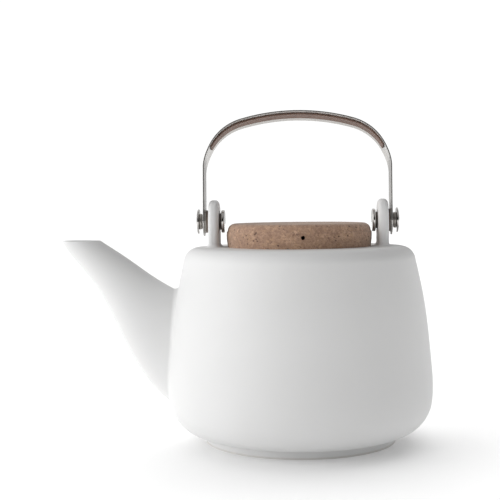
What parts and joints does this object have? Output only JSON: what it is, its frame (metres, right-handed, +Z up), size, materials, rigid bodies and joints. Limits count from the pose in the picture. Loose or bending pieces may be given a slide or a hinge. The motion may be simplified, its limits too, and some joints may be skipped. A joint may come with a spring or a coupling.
{
  "type": "teapot with infuser",
  "caption": "Round matt porcelain teapot with a straight tapering spout, cork lid, lift-out steel infuser basket and a folding steel strap handle on two lugs.",
  "frame": {"origin": "centre of the foot ring, on the plane the pot rests on", "axes": "+Z up, the spout points along -X, the handle swings about an axis along X, +Y is the side the handle leans to at rest"},
  "size_m": [0.2117, 0.1508, 0.1891],
  "materials": {
    "porcelain": "matte",
    "cork": "matte",
    "silicone": "satin",
    "infuser_steel": "satin",
    "strap_steel": "satin",
    "polished_steel": "polished",
    "dark_steel": "satin",
    "washer_leather": "matte",
    "lining_leather": "satin",
    "nylon": "matte"
  },
  "bodies": {
    "pot": {"pot_body": "porcelain", "pot_foot": "porcelain", "spout": "porcelain", "lug_bush_left": "nylon", "lug_bush_right": "nylon", "leather_washer_left": "washer_leather", "leather_washer_right": "washer_leather"},
    "handle": {"handle_strap": "strap_steel", "grip_lining": "lining_leather", "pivot_bolt_left": "polished_steel", "pivot_bolt_right": "polished_steel", "steel_washer_left": "dark_steel", "steel_washer_right": "dark_steel", "spring_washer_left": "dark_steel", "spring_washer_right": "dark_steel", "lock_nut_left": "dark_steel", "lock_nut_right": "dark_steel", "cap_disc_left": "polished_steel", "cap_disc_right": "polished_steel"},
    "infuser": {"infuser_rim": "infuser_steel", "infuser_wall": "infuser_steel", "infuser_base": "infuser_steel"},
    "lid": {"cork_lid": "cork", "lid_seal": "silicone"}
  },
  "joints": [
    {"name": "handle_swing", "type": "hinge", "parent": "pot", "child": "handle", "pos_m": [0, 0, 0.1253], "axis": [1, 0, 0], "range_deg": [-79, 109]},
    {"name": "infuser_lift", "type": "slide", "parent": "pot", "child": "infuser", "axis": [0, 0, 1], "range_m": [0, 0.05]},
    {"name": "lid_lift", "type": "slide", "parent": "infuser", "child": "lid", "axis": [0, 0, 1], "range_m": [0, 0.05]}
  ]
}
